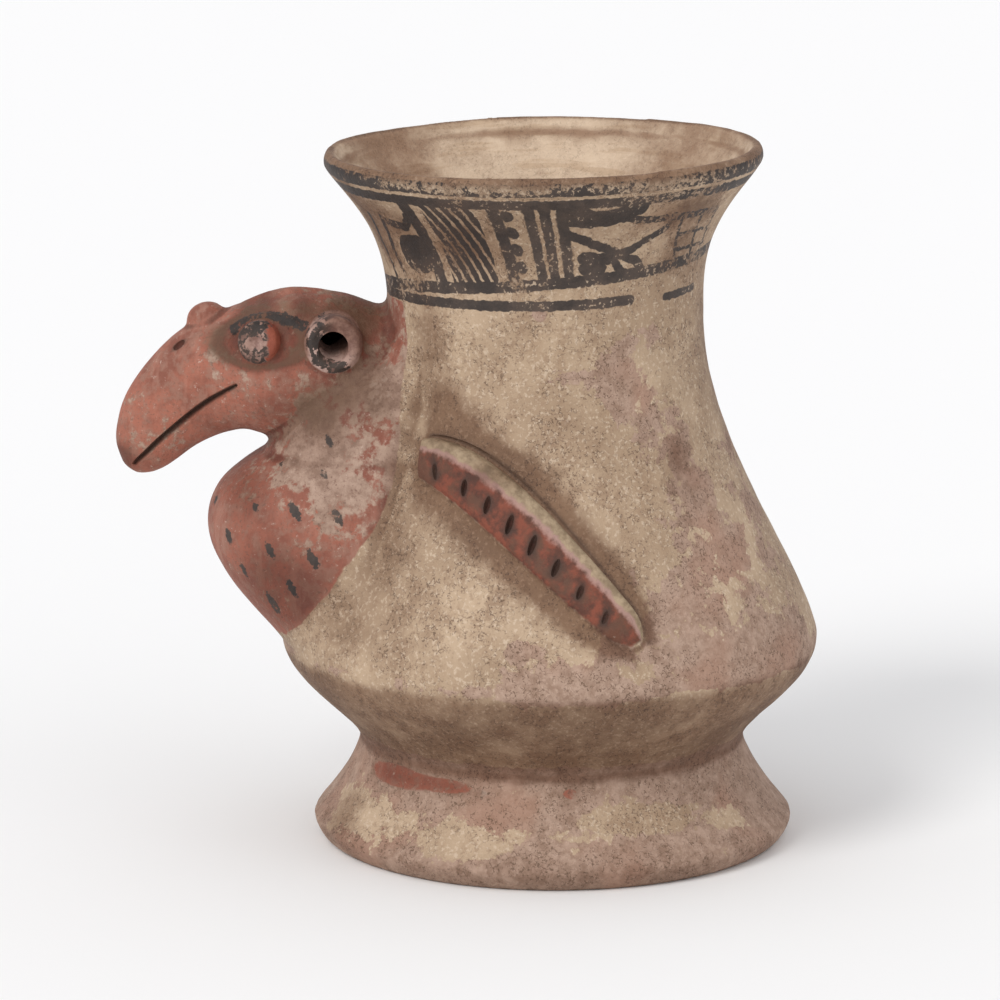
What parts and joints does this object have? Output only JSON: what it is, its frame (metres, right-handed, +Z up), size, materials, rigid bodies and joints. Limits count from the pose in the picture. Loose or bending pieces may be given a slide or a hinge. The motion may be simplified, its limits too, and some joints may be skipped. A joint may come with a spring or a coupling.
{
  "type": "bird effigy jar",
  "caption": "Hollow fired-clay jar with a vulture-like head and breast on one side, applied wings, a flared painted mouth and a flared ring foot.",
  "frame": {"origin": "on the ground, midway between the front of the beak and the widest part of the back, in the bird's middle plane", "axes": "+Z up, the bird faces -Y, +X is the bird's left side, the side that the picture shows"},
  "size_m": [0.2006, 0.2625, 0.2614],
  "materials": {
    "slipped_clay": "worn matt cream slip over buff clay, with red and black slip paint"
  },
  "bodies": {
    "root": {"bird_effigy_jar": "slipped_clay"}
  },
  "joints": []
}
